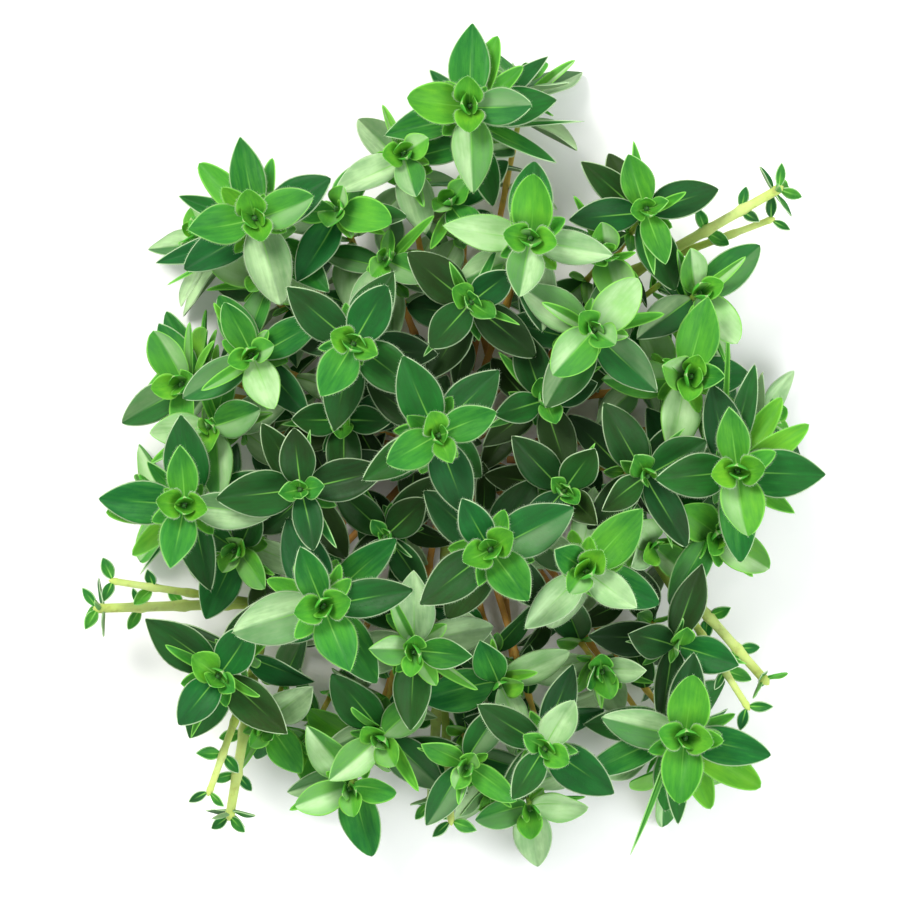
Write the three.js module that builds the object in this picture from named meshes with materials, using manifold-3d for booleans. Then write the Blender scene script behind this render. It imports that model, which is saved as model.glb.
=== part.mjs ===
// A loose bundle of fresh thyme as it lies on a table: leafy sprigs fan out from their cut ends in
// the middle and turn their tips up. Millimetres, +Z up; the table is z = 0, under the bundle's
// middle.
import * as THREE from "three";
import { mergeVertices } from "three/addons/utils/BufferGeometryUtils.js";
import Module from "manifold-3d";

const wasm = await Module();
wasm.setup();

// Driving sizes
const leafLength = 12.2; // of the largest leaves
const bladeThickness = 0.6;
const rootOffset = 0.34; // how far from its stem's line a leaf begins, inside the stem
const stemWidth = 1.2; // at the cut end
const tipWidth = 0.95; // under the bud
const budWidth = 1.4;
const budLength = 1.9;
const clearance = 0.55; // between two sprigs, from point to point

// The heap's form
const domeHeight = 44; // of the highest tip
const domeFall = 0.0062; // how much lower a tip is, for its distance from the middle squared
const baseSpread = 0.2; // how far out a stem starts, as a share of how far out its tip is
const baseHeight = 3.2; // of the cut ends
const baseDip = 30; // degrees that a stem starts below the straight way to its tip
const leanRate = 0.5; // degrees that a low tip leans out for each mm from the middle
const deepDrop = 14; // how far under the dome a tip leans at the full rate
const tipTurn = 6; // degrees that every tip is turned back in

// Each sprig: its tip's x and y, how far under the dome it is, the heading of its largest leaves in
// degrees and its leaves' size
const HEAP = [
  [2.2, 50, 2, 90, 1.02], // the rosettes on top
  [-29, 33.6, 2, 108, 1.04],
  [41, -2.9, 1, 3, 1.04],
  [-39.2, -8, 2, 175, 1.02],
  [33.4, -41.8, 0, 168, 1.04],
  [-14.5, 15.2, 1, 148, 1],
  [-2.2, 1.9, 0, 115, 1.02],
  [5.1, -14.2, 2, 30, 1.04],
  [-18.9, -22.5, 1, 17, 1.08],
  [18.9, -17.4, 3, 52, 0.98],
  [10.9, 30.5, 2, 172, 1],
  [13.1, -43.5, 4, 150, 0.96],
  [-29.7, 13.8, 8, 30, 0.94], // the middle layer
  [20.2, 17.4, 6, 135, 1],
  [27.5, 36, 6, 15, 0.94],
  [-34.4, -33.5, 3, 140, 1.04],
  [-7.5, 43.5, 10, 20, 0.9],
  [32.8, -29.2, 10, 75, 0.96],
  [-17.4, 35.4, 11, 70, 0.94],
  [-36.2, 3.4, 12, 100, 0.96],
  [22.4, 28.4, 10, 15, 1],
  [37.4, -14.6, 13, 50, 0.96],
  [-22.4, -5.6, 7, 10, 1],
  [28.2, -4.2, 8, 120, 1],
  [33.2, 9.6, 9, 80, 0.98], // the lower layer
  [34.6, 22, 12, 30, 0.98],
  [-5.8, -29.4, 9, 85, 0.98],
  [2.4, 21.4, 9, 140, 0.95],
  [6.8, -33.8, 14, 20, 0.94],
  [-10.4, -42.6, 11, 130, 0.98],
  [1.6, -44.5, 10, 60, 0.9],
  [-15.5, -48, 11, 105, 0.9],
  [-39.8, 9.4, 13, 20, 0.92],
  [-25.6, -42.4, 15, 45, 0.95],
  [10, -53, 13, 95, 0.92],
  [20.5, -30.5, 14, 100, 0.94],
  [-9.5, 26, 15, 60, 0.9], // the inner ones, deep among the others
  [13.5, 7.5, 15, 110, 0.9],
  [-10.5, -13, 17, 130, 0.9],
  [-28, 25.5, 17, 75, 0.9],
  [30, -14.5, 18, 25, 0.9],
  [-30, -15, 14, 60, 0.9],
  [-2.5, 35.5, 16, 40, 0.9],
  [16, -6, 12, 140, 0.9],
  [-16.5, 4.5, 15, 95, 0.88],
];
const topSprigs = 12;
const middleSprigs = 12;

// The sprigs that lie on the table round the heap: heading, reach and leaf size
const SKIRT = [
  [79, 57, 0.96],
  [39, 42, 0.94],
  [140, 51, 0.98],
  [163, 43, 0.9],
  [192, 46, 0.96],
  [243, 51, 0.94],
  [277, 52, 0.96],
  [305, 60, 1],
  [6, 48, 0.98],
];
const skirtStart = 12; // distance of their cut ends from the middle
const skirtHeight = 9; // of their tips
const skirtRise = 22; // degrees that their tips point up
const skirtTurn = 45; // turn of their largest leaves round the stem

// The nearly bare twigs: the tip's x, y and z, the side branch's, and the cut end's x and y
const TWIGS = [
  [48, 38.5, 17, 47, 34, 12, 12, 18],
  [-53, -23.2, 14, -50.5, -19, 20, -11, -22],
  [-32, -54, 13, -36, -50.5, 20, -22, -12],
  [-3.5, -52.5, 9, -0.5, -55, 14, -1, -10],
  [46, -34.4, 14, 43, -38, 20, 14, 2],
];
const twigRise = [4, 12]; // degrees, at the cut end and at the tip
const branchRise = [30, 20];
const branchStart = 0.42; // where the side branch leaves, as a share of the twig
const twigLeafSize = 0.34;

// Leaf pairs from the tip down: distance under the tip in mm, length and width as shares of the
// largest leaf's length, the angle in degrees that the pair opens to, and how far it curls back
const PAIRS = [
  { below: 2, length: 0.34, width: 0.3, open: 40, curl: -20 },
  { below: 3.2, length: 0.78, width: 0.5, open: 66, curl: 0 },
  { below: 4.8, length: 1, width: 0.58, open: 78, curl: 14 },
  { below: 8, length: 0.98, width: 0.57, open: 86, curl: 22 },
  { below: 13, length: 0.9, width: 0.52, open: 92, curl: 28 },
];
const largestPair = 2; // the one that a sprig's heading is for
const pairTwist = 12; // degrees past a right angle that each pair under that one is turned
// How far the draws move a leaf: its turn, its opening, its size and its roll
const turnRange = 7;
const openRange = 5;
const sizeRange = 0.05;
const rollRange = 9;

// How a leaf may bend clear of another sprig: its extra opening, its swing round the stem and its
// size; where none of these helps, no leaf grows
const BENDS = [
  [0, 0, 1],
  [-12, 0, 1],
  [12, 0, 1],
  [0, 14, 1],
  [0, -14, 1],
  [-24, 0, 0.94],
  [24, 0, 0.94],
  [-14, 20, 0.88],
  [-14, -20, 0.88],
  [16, 20, 0.8],
  [16, -20, 0.8],
  [-36, 0, 0.74],
];

const rad = THREE.MathUtils.degToRad;
const deg = THREE.MathUtils.radToDeg;
const lerp = THREE.MathUtils.lerp;
const vec = (x, y, z) => new THREE.Vector3(x, y, z);
const listOf = (length, make) => Array.from({ length }, (_, i) => make(i));

// A repeatable draw from -1 to 1 for a whole-number key
function draw(key) {
  let t = (key + 0x6d2b79f5) | 0;
  t = Math.imul(t ^ (t >>> 15), 1 | t);
  t = (t + Math.imul(t ^ (t >>> 7), 61 | t)) ^ t;
  return ((t ^ (t >>> 14)) >>> 0) / 2147483648 - 1;
}

// A stem's line: a cubic curve in an upright plane, with the two angles at which it rises
const lineSteps = 24;
const handle = 0.4;
function stemLine(start, tip, [startRise, tipRise]) {
  const heading = Math.atan2(tip.y - start.y, tip.x - start.x);
  const side = vec(-Math.sin(heading), Math.cos(heading), 0);
  const reach = handle * tip.distanceTo(start);
  const rising = (rise) =>
    vec(Math.cos(heading), Math.sin(heading), 0)
      .multiplyScalar(Math.cos(rad(rise)))
      .setZ(Math.sin(rad(rise)));
  const curve = new THREE.CubicBezierCurve3(
    start,
    start.clone().addScaledVector(rising(startRise), reach),
    tip.clone().addScaledVector(rising(tipRise), -reach),
    tip,
  );
  const points = curve.getPoints(lineSteps);
  const lengths = [0];
  for (let i = 1; i <= lineSteps; i++)
    lengths.push(lengths[i - 1] + points[i].distanceTo(points[i - 1]));

  // The place at a distance from the start, with the axes there: forward, side and third
  function at(distance) {
    let i = 1;
    while (i < lineSteps && lengths[i] < distance) i++;
    const share = (distance - lengths[i - 1]) / (lengths[i] - lengths[i - 1]);
    const t = (i - 1 + share) / lineSteps;
    const forward = curve.getTangent(t);
    return { place: curve.getPoint(t), forward, side, third: forward.clone().cross(side) };
  }
  return { at, heading, total: lengths[lineSteps] };
}

// The egg-shaped outline of a leaf: its half width at a share of its length, as a share
function outlineAt(s) {
  return Math.sin(Math.PI * s ** 0.9) ** 0.8;
}

// A leaf's middle face: the point at a share s of its length and v of its half width, from -1 to 1
function leafPoint(leaf, s, v) {
  return leaf.root
    .clone()
    .addScaledVector(leaf.along, s * leaf.length)
    .addScaledVector(leaf.up, -0.5 * leaf.curl * s * s * leaf.length)
    .addScaledVector(leaf.across, v * leaf.halfWidth * outlineAt(s));
}

// A leaf of a sprig, at a turn round its stem, bent as one of BENDS
function growLeaf(plan, form, turn, [opening, swing, shrink]) {
  const node = plan.line.at(plan.line.total - form.below * plan.size);
  const round = rad(turn + swing);
  const out = node.side
    .clone()
    .multiplyScalar(Math.cos(round))
    .addScaledVector(node.third, Math.sin(round));
  const open = rad(form.open + opening);
  const along = node.forward
    .clone()
    .multiplyScalar(Math.cos(open))
    .addScaledVector(out, Math.sin(open));
  const up = node.forward
    .clone()
    .multiplyScalar(Math.sin(open))
    .addScaledVector(out, -Math.cos(open))
    .applyAxisAngle(along, rad(form.roll));
  const length = leafLength * form.size * shrink;
  return {
    root: node.place.addScaledVector(out, rootOffset),
    along,
    up,
    across: along.clone().cross(up),
    length: length * form.length,
    halfWidth: (length * form.width) / 2,
    curl: rad(form.curl),
  };
}

// What is placed already, as groups of points, each with its owner, the half thickness round its
// points and a ball that holds them
const placed = [];
function groupOf(owner, half, points) {
  const centre = new THREE.Box3().setFromPoints(points).getCenter(vec(0, 0, 0));
  const radius = Math.max(...points.map((p) => p.distanceTo(centre)));
  return { owner, half, points, centre, radius };
}

function isClear(group) {
  return placed.every((other) => {
    if (other.owner === group.owner) return true;
    const gap = other.half + group.half + clearance;
    if (other.centre.distanceTo(group.centre) > other.radius + group.radius + gap) return true;
    return group.points.every((p) => other.points.every((q) => p.distanceTo(q) > gap));
  });
}

// A leaf as a group of points that no other leaf slips between
const SPREAD_ALONG = [0.16, 0.25, 0.34, 0.43, 0.52, 0.61, 0.7, 0.79, 0.88, 1];
const SPREAD_ACROSS = [-1, -0.66, -0.33, 0, 0.33, 0.66, 1];
function leafGroup(owner, leaf) {
  const points = SPREAD_ALONG.flatMap((s) => SPREAD_ACROSS.map((v) => leafPoint(leaf, s, v)));
  return groupOf(owner, bladeThickness / 2, points);
}

// A stem's line as short groups of points
const stemParts = 6;
const partPoints = 10;
const stemRound = 0.6; // the half thickness to keep clear, as a share of a square stem's width
function stemGroups(owner, line) {
  const spacing = line.total / (stemParts * partPoints);
  return listOf(stemParts, (part) => {
    const width = lerp(stemWidth, tipWidth, part / (stemParts - 1));
    const first = part * partPoints + 0.5;
    const points = listOf(partPoints, (i) => line.at(spacing * (first + i)).place);
    return groupOf(owner, stemRound * width, points);
  });
}

// Finds free room for a stem: its start walks a spiral outwards, and its tip follows a little
const spiralStep = 0.35;
const spiralTries = 900;
const goldenAngle = 137.508;
const tipShare = 0.25;
function placeStem(owner, start, tip, risesOf) {
  for (let n = 0; n < spiralTries; n++) {
    const far = spiralStep * Math.sqrt(n);
    const turn = rad(n * goldenAngle);
    const shift = vec(far * Math.cos(turn), far * Math.sin(turn), 0);
    const from = start.clone().add(shift);
    const to = tip.clone().addScaledVector(shift, tipShare);
    const line = stemLine(from, to, risesOf(from, to));
    const groups = stemGroups(owner, line);
    if (groups.every(isClear)) {
      placed.push(...groups);
      return line;
    }
  }
  throw new Error("no room for the stem of " + owner);
}

// The twigs, the heap's sprigs and the skirt's, each as a plan: its stem's line, the turn of its
// largest leaves round it, its leaves' size, and its first and last pair in PAIRS
function planTwig([x, y, z, x2, y2, z2, startX, startY], i) {
  const owner = "twig_" + (i + 1);
  const start = vec(startX, startY, baseHeight);
  const line = placeStem(owner, start, vec(x, y, z), () => twigRise);
  const fork = line.at(line.total * branchStart).place;
  const branch = stemLine(fork, vec(x2, y2, z2), branchRise);
  placed.push(...stemGroups(owner, branch));
  return { owner, line, branch, turn: 20 * i, size: twigLeafSize, first: 1, last: 2 };
}

function planHeapSprig([x, y, drop, heading, size], i) {
  const owner = "sprig_" + String(i + 1).padStart(2, "0");
  const start = vec(baseSpread * x, baseSpread * y, baseHeight);
  const tip = vec(x, y, domeHeight - domeFall * (x * x + y * y) - drop);
  const line = placeStem(owner, start, tip, (from, to) => {
    const chord = Math.atan2(to.z - from.z, Math.hypot(to.x - from.x, to.y - from.y));
    const lean = (leanRate * Math.hypot(to.x, to.y) * drop) / deepDrop;
    return [Math.max(0, deg(chord) - baseDip), 90 - lean + tipTurn];
  });
  const turn = heading - deg(line.heading) - 90;
  const first = i < topSprigs ? 0 : 1;
  const last = i < topSprigs + middleSprigs ? 4 : 3;
  return { owner, line, turn, size, first, last };
}

function planSkirtSprig([heading, reach, size], i) {
  const owner = "skirt_" + (i + 1);
  const way = vec(Math.cos(rad(heading)), Math.sin(rad(heading)), 0);
  const start = way.clone().multiplyScalar(skirtStart).setZ(stemWidth / 2);
  const tip = way.clone().multiplyScalar(reach).setZ(skirtHeight);
  const line = placeStem(owner, start, tip, () => [0, skirtRise]);
  return { owner, line, turn: skirtTurn, size, first: 1, last: 3 };
}

// The leaves of a plan, from the tip down, each bent clear of what is placed and of the table
function growLeaves(plan, number) {
  const leaves = [];
  for (let pair = plan.first; pair <= plan.last; pair++) {
    for (const half of [0, 1]) {
      const key = 4 * (2 * (16 * number + pair) + half);
      const lower = pair - largestPair;
      const turn =
        plan.turn +
        90 * lower +
        pairTwist * Math.max(0, lower) +
        180 * half +
        turnRange * draw(key);
      const form = {
        ...PAIRS[pair],
        open: PAIRS[pair].open + openRange * draw(key + 1),
        size: plan.size * (1 + sizeRange * draw(key + 2)),
        roll: rollRange * draw(key + 3),
      };
      for (const bend of BENDS) {
        const leaf = growLeaf(plan, form, turn, bend);
        const group = leafGroup(plan.owner, leaf);
        const onTable = group.points.some((p) => p.z < bladeThickness * 0.7);
        if (onTable || !isClear(group)) continue;
        placed.push(group);
        leaves.push(leaf);
        break;
      }
    }
  }
  return leaves;
}

// A closed mesh as a solid
function solidOf(vertices, triangles) {
  return new wasm.Manifold(
    new wasm.Mesh({
      numProp: 3,
      vertProperties: new Float32Array(vertices.flatMap((v) => v.toArray())),
      triVerts: new Uint32Array(triangles.flat()),
    }),
  );
}

// A blade of even thickness: a root edge inside the stem, two pairs of points and a pointed tip
const STATIONS = [0.34, 0.68];
function bladeSolid(leaf) {
  const half = leaf.up.clone().multiplyScalar(bladeThickness / 2);
  const edges = STATIONS.flatMap((s) => [leafPoint(leaf, s, 1), leafPoint(leaf, s, -1)]);
  const root = leafPoint(leaf, 0, 0);
  const tip = leafPoint(leaf, 1, 0);
  const outline = [root, ...edges, tip];
  const end = outline.length - 1;
  const vertices = [
    ...outline.map((p) => p.clone().add(half)),
    ...outline.slice(0, end).map((p) => p.clone().sub(half)),
  ];
  const lower = (i) => (i === end ? end : i + end + 1);
  const top = [
    [0, 1, 2],
    [1, 3, 2],
    [2, 3, 4],
    [3, end, 4],
  ];
  const under = top.map(([a, b, c]) => [lower(a), lower(c), lower(b)]);
  const rim = [0, 2, 4, end, 3, 1];
  const sides = rim.flatMap((a, i) => {
    const b = rim[(i + 1) % rim.length];
    const outer = [a, b, lower(b)];
    const inner = [a, lower(b), lower(a)];
    if (b === end) return [inner];
    return a === end ? [outer] : [outer, inner];
  });
  return solidOf(vertices, [...top, ...under, ...sides]);
}

// A square stem from its cut end to its bud, with a ring of corners at each leaf node
const CORNERS = [
  [1, 1],
  [-1, 1],
  [-1, -1],
  [1, -1],
];
const freeRings = 3; // from the cut end to the lowest node
function stemSolid(line, nodes, [wide, narrow, bud]) {
  const body = line.total - budLength;
  const places = [...listOf(freeRings, (i) => (nodes[0] * i) / freeRings), ...nodes, body];
  const rings = places.map((distance) => [distance, lerp(wide, narrow, distance / body) / 2]);
  rings.push([line.total - budLength / 2, bud / 2]);
  const vertices = rings.flatMap(([distance, half]) => {
    const { place, side, third } = line.at(distance);
    return CORNERS.map(([a, b]) =>
      place.clone().addScaledVector(side, a * half).addScaledVector(third, b * half),
    );
  });
  const end = vertices.length;
  vertices.push(line.at(line.total).place);
  const next = (i) => (i % 4 === 3 ? i - 3 : i + 1);
  const cutEnd = [
    [0, 2, 1],
    [0, 3, 2],
  ];
  const sides = listOf(end - 4, (i) => [
    [i, next(i), next(i) + 4],
    [i, next(i) + 4, i + 4],
  ]).flat();
  const point = listOf(4, (i) => [end - 4 + i, end - 4 + next(i), end]);
  return solidOf(vertices, [...cutEnd, ...sides, ...point]);
}

// A leafy sprig's stem, with its lowest leaf node first; the pairs near the bud need no ring
const closePairs = 2;
function sprigStem(plan) {
  const pairs = PAIRS.slice(closePairs, plan.last + 1).reverse();
  const nodes = pairs.map((pair) => plan.line.total - pair.below * plan.size);
  return stemSolid(plan.line, nodes, [stemWidth, tipWidth, budWidth]);
}

// A twig's stem with its side branch
function twigStem(plan) {
  const fork = plan.line.total * branchStart;
  const stem = stemSolid(plan.line, [fork], [stemWidth, tipWidth, tipWidth]);
  const half = plan.branch.total / 2;
  return stem.add(stemSolid(plan.branch, [half], [tipWidth, tipWidth, tipWidth]));
}

// A solid's outer shell, so that no pocket stays closed in between its blades
function outerShell(solid) {
  const shells = solid.decompose();
  return shells.reduce((best, shell) => (shell.volume() > best.volume() ? shell : best));
}

function meshOf(solid, name, material) {
  const made = outerShell(solid).getMesh();
  const geometry = new THREE.BufferGeometry();
  geometry.setAttribute("position", new THREE.BufferAttribute(made.vertProperties, 3));
  geometry.setIndex(new THREE.BufferAttribute(made.triVerts, 1));
  const mesh = new THREE.Mesh(mergeVertices(geometry), material);
  mesh.name = name;
  return mesh;
}

const leafGreen = new THREE.MeshStandardMaterial({
  color: 0x2f8a2f,
  roughness: 0.55,
  metalness: 0,
});
const twigGreen = new THREE.MeshStandardMaterial({
  color: 0xb3bd62,
  roughness: 0.7,
  metalness: 0,
});

const twigs = TWIGS.map(planTwig);
const heap = HEAP.map(planHeapSprig);
const skirt = SKIRT.map(planSkirtSprig);

const bundle = new THREE.Group();
[...heap, ...skirt, ...twigs].forEach((plan, number) => {
  const isTwig = plan.branch !== undefined;
  const stem = isTwig ? twigStem(plan) : sprigStem(plan);
  const blades = growLeaves(plan, number).map(bladeSolid);
  const solid = blades.reduce((joined, blade) => joined.add(blade), stem);
  bundle.add(meshOf(solid, plan.owner, isTwig ? twigGreen : leafGreen));
});

export default bundle;
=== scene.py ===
import math

import bpy
import numpy as np
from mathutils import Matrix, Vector


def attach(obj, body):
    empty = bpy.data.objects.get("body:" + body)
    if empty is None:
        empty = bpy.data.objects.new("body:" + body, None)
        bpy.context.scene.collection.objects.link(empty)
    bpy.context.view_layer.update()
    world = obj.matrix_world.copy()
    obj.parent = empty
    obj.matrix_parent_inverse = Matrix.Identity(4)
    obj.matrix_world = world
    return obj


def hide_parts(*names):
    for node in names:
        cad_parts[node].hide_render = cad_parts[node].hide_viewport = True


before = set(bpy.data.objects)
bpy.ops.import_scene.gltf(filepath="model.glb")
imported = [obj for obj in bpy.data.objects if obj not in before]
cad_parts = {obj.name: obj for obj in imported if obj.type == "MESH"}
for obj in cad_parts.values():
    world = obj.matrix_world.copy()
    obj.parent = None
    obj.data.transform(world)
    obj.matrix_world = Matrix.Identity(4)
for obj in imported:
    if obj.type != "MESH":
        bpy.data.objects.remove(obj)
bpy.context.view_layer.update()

MM = 0.001

# Sizes of the sprigs, as in the frame
LEAF_LENGTH = 12.2  # of the largest leaves
BLADE_THICKNESS = 0.6
OUTLINE_SKEW = 0.9  # under 1 a leaf is widest nearer its stalk
OUTLINE_TAPER = 0.8  # the lower, the blunter
ROOT_OFFSET = 0.34  # from its stem's line to a leaf's root
STEM_WIDTH = 1.2  # at the cut end
TIP_WIDTH = 0.95
CLEARANCE = 0.55  # between the solids of different sprigs
TABLE_GAP = 0.7 * BLADE_THICKNESS  # least height of a leaf's middle face

# The heap's form, as in the frame
DOME_HEIGHT = 44
DOME_FALL = 0.0062  # per mm of the squared distance from the middle
BASE_SPREAD = 0.2  # of its tip's distance from the middle, where a stem starts
BASE_HEIGHT = 3.2
BASE_DIP = 30  # degrees by which a stem starts flatter than the way to its tip
LEAN_RATE = 0.5  # degrees that a tip leans out for each mm from the middle, at the deep drop
DEEP_DROP = 14
TIP_TURN = 6  # degrees

# Each sprig: its tip's x and y, how far under the dome it is, the heading of its largest leaves in
# degrees and its leaves' size
HEAP = [
    (2.2, 50, 2, 90, 1.02),  # the rosettes on top
    (-29, 33.6, 2, 108, 1.04),
    (41, -2.9, 1, 3, 1.04),
    (-39.2, -8, 2, 175, 1.02),
    (33.4, -41.8, 0, 168, 1.04),
    (-14.5, 15.2, 1, 148, 1),
    (-2.2, 1.9, 0, 115, 1.02),
    (5.1, -14.2, 2, 30, 1.04),
    (-18.9, -22.5, 1, 17, 1.08),
    (18.9, -17.4, 3, 52, 0.98),
    (10.9, 30.5, 2, 172, 1),
    (13.1, -43.5, 4, 150, 0.96),
    (-29.7, 13.8, 8, 30, 0.94),  # the middle layer
    (20.2, 17.4, 6, 135, 1),
    (27.5, 36, 6, 15, 0.94),
    (-34.4, -33.5, 3, 140, 1.04),
    (-7.5, 43.5, 10, 20, 0.9),
    (32.8, -29.2, 10, 75, 0.96),
    (-17.4, 35.4, 11, 70, 0.94),
    (-36.2, 3.4, 12, 100, 0.96),
    (22.4, 28.4, 10, 15, 1),
    (37.4, -14.6, 13, 50, 0.96),
    (-22.4, -5.6, 7, 10, 1),
    (28.2, -4.2, 8, 120, 1),
    (33.2, 9.6, 9, 80, 0.98),  # the lower layer
    (34.6, 22, 12, 30, 0.98),
    (-5.8, -29.4, 9, 85, 0.98),
    (2.4, 21.4, 9, 140, 0.95),
    (6.8, -33.8, 14, 20, 0.94),
    (-10.4, -42.6, 11, 130, 0.98),
    (1.6, -44.5, 10, 60, 0.9),
    (-15.5, -48, 11, 105, 0.9),
    (-39.8, 9.4, 13, 20, 0.92),
    (-25.6, -42.4, 15, 45, 0.95),
    (10, -53, 13, 95, 0.92),
    (20.5, -30.5, 14, 100, 0.94),
    (-9.5, 26, 15, 60, 0.9),  # the inner ones, deep among the others
    (13.5, 7.5, 15, 110, 0.9),
    (-10.5, -13, 17, 130, 0.9),
    (-28, 25.5, 17, 75, 0.9),
    (30, -14.5, 18, 25, 0.9),
    (-30, -15, 14, 60, 0.9),
    (-2.5, 35.5, 16, 40, 0.9),
    (16, -6, 12, 140, 0.9),
    (-16.5, 4.5, 15, 95, 0.88),
]
TOP_SPRIGS = 12
MIDDLE_SPRIGS = 12

# The sprigs that lie on the table round the heap: heading, reach and leaf size
SKIRT = [
    (79, 57, 0.96),
    (39, 42, 0.94),
    (140, 51, 0.98),
    (163, 43, 0.9),
    (192, 46, 0.96),
    (243, 51, 0.94),
    (277, 52, 0.96),
    (305, 60, 1),
    (6, 48, 0.98),
]
SKIRT_START = 12  # distance of the cut ends from the middle
SKIRT_HEIGHT = 9
SKIRT_RISE = 22  # degrees, at the tip
SKIRT_TURN = 45

# The nearly bare twigs: the tip's x, y and z, the side branch's, and the cut end's x and y
TWIGS = [
    (48, 38.5, 17, 47, 34, 12, 12, 18),
    (-53, -23.2, 14, -50.5, -19, 20, -11, -22),
    (-32, -54, 13, -36, -50.5, 20, -22, -12),
    (-3.5, -52.5, 9, -0.5, -55, 14, -1, -10),
    (46, -34.4, 14, 43, -38, 20, 14, 2),
]
TWIG_RISE = (4, 12)  # degrees, at the cut end and at the tip
BRANCH_RISE = (30, 20)
BRANCH_START = 0.42  # share of the twig's length
TWIG_LEAF_SIZE = 0.34
TWIG_TURN = 20  # degrees, from one twig to the next


def form(below, length, width, opening, curl):
    """A leaf's place under its tip in mm, its length and width as shares of the largest leaf's
    length, the angle that its pair opens to and how far it curls back."""
    return dict(below=below, length=length, width=width, open=opening, curl=curl)


# Leaf pairs from the tip down, as in the frame
PAIRS = [
    form(2, 0.34, 0.3, 40, -20),
    form(3.2, 0.78, 0.5, 66, 0),
    form(4.8, 1, 0.58, 78, 14),
    form(8, 0.98, 0.57, 86, 22),
    form(13, 0.9, 0.52, 92, 28),
]
LARGEST_PAIR = 2
PAIR_TWIST = 12  # degrees more than a right angle, from one older pair to the next
TURN_RANGE = 7  # how far each leaf differs, in degrees
OPEN_RANGE = 5
ROLL_RANGE = 9
SIZE_RANGE = 0.05

# How a leaf may bend clear: its extra opening, its swing round the stem and its size
BENDS = [
    (0, 0, 1),
    (-12, 0, 1),
    (12, 0, 1),
    (0, 14, 1),
    (0, -14, 1),
    (-24, 0, 0.94),
    (24, 0, 0.94),
    (-14, 20, 0.88),
    (-14, -20, 0.88),
    (16, 20, 0.8),
    (16, -20, 0.8),
    (-36, 0, 0.74),
]

# The finer leaves that the frame leaves out: the cupped pair round the bud, the small leaves in
# the axils and the older pairs further down the stem
BUD_PAIRS = [form(1.8, 0.22, 0.26, 28, -26), form(2, 0.36, 0.33, 44, 10)]
LOWER_PAIRS = [
    form(13, 0.88, 0.5, 92, 28),
    form(19, 0.78, 0.44, 96, 30),
    form(26, 0.66, 0.38, 98, 30),
]
AXIL_PAIRS = (2, 3, 4)
AXIL_RISE = 0.35  # mm over the large leaf's root
AXIL_LENGTHS = (0.46, 0.34)
AXIL_WIDTH = 0.5  # share of the length
AXIL_TURN = 36  # degrees to either side of the large leaf
AXIL_OPEN = (64, 50)
AXIL_CURL = 8
SLENDER = form(5.6, 0.85, 0.17, 58, 12)
SLENDER_LEAVES = 4  # on each sprig under the top ones
SLENDER_DRIFT = 0.3  # how unevenly they stand round the stem
SLENDER_STEP = 11  # between the keys of two sprigs
LEAST_STEM = 3  # mm of bare stem under the last pair
FINE_OPEN_RANGE = 2 * OPEN_RANGE
FINE_ROLL = 2 * ROLL_RANGE
LOOSE_ROLL = 40  # degrees, of the older pairs and the slender leaves
FINE_SIZE_RANGE = 3 * SIZE_RANGE
FINE_THICKNESS = 0.3
OWN_CLEARANCE = 0.22  # between the finer leaves of one sprig
FINE_CLEARANCE = 0.45  # between them and other sprigs
FINE_BENDS = [(0, 0, 1), (-14, 0, 0.95), (14, 0, 0.95), (0, 16, 0.9), (0, -16, 0.9), (-24, 0, 0.75)]

# Single leaves that show behind the rosettes: the sprig, the heading seen from above, how far under
# the tip they are, their length and width as shares and their age. A low age makes a leaf bright
# yellow-green, partly as a young leaf is and partly as painted light shining through it
BEHIND_OPEN = 84
BEHIND_CURL = 6
BEHIND = [
    (1, 63, 6.4, 1.02, 0.36, 0.12),
    (1, 36, 9.5, 1.12, 0.3, 0.6),
    (1, 45, 6.6, 0.9, 0.26, 0.2),
    (1, -26, 9, 1.16, 0.36, 0.5),
    (1, 125, 6.5, 0.76, 0.24, 0.35),
    (1, -1, 11.5, 1.5, 0.09, 0.4),
    (2, 138, 6.5, 1.06, 0.38, 0.08),
    (2, 164, 9.5, 1.22, 0.36, 0.6),
    (2, 190, 10.5, 1.2, 0.34, 0.55),
    (2, 84, 6.8, 0.74, 0.2, 0.35),
    (2, 204, 12, 1.5, 0.09, 0.4),
    (3, 24, 6.5, 1.12, 0.38, 0.1),
    (3, 46, 9.5, 1.22, 0.36, 0.15),
    (3, 70, 10, 1.25, 0.34, 0.65),
    (3, -35, 6.8, 0.74, 0.22, 0.3),
    (3, 90, 12, 1.5, 0.09, 0.35),
    (4, 192, 6.5, 1.08, 0.38, 0.08),
    (4, 222, 9.5, 1.22, 0.36, 0.12),
    (4, 132, 6.8, 0.84, 0.26, 0.4),
    (4, 240, 12, 1.4, 0.09, 0.4),
    (5, -42, 6.5, 1.06, 0.38, 0.08),
    (5, -72, 9.2, 1.2, 0.36, 0.12),
    (5, 262, 8.4, 1.2, 0.34, 0.6),
    (5, 10, 6.8, 0.72, 0.2, 0.3),
    (5, 246, 9, 1.5, 0.09, 0.3),
    (5, 202, 8.8, 1.2, 0.4, 0.5),
    (9, 62, 6.2, 0.56, 0.2, 0.12),
    (9, 118, 6.2, 0.5, 0.2, 0.12),
    (9, 150, 6.6, 0.6, 0.22, 0.1),
    (9, -60, 6.6, 0.5, 0.2, 0.1),
    (15, 146, 6.2, 0.9, 0.4, 0.5),
]


def draw(key):
    """A repeatable draw from -1 to 1 for a whole-number key."""
    mask = 0xFFFFFFFF
    t = (key + 0x6D2B79F5) & mask
    t = ((t ^ (t >> 15)) * (1 | t)) & mask
    t = ((t + ((t ^ (t >> 7)) * (61 | t))) ^ t) & mask
    return (t ^ (t >> 14)) / 2147483648 - 1


def draws(key, count):
    return np.array([draw(key + i) for i in range(count)])


def vec(x, y, z):
    return np.array([x, y, z], float)


def unit(vectors):
    return vectors / np.linalg.norm(vectors, axis=-1, keepdims=True)


def lerp(a, b, t):
    return a + (b - a) * t


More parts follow.
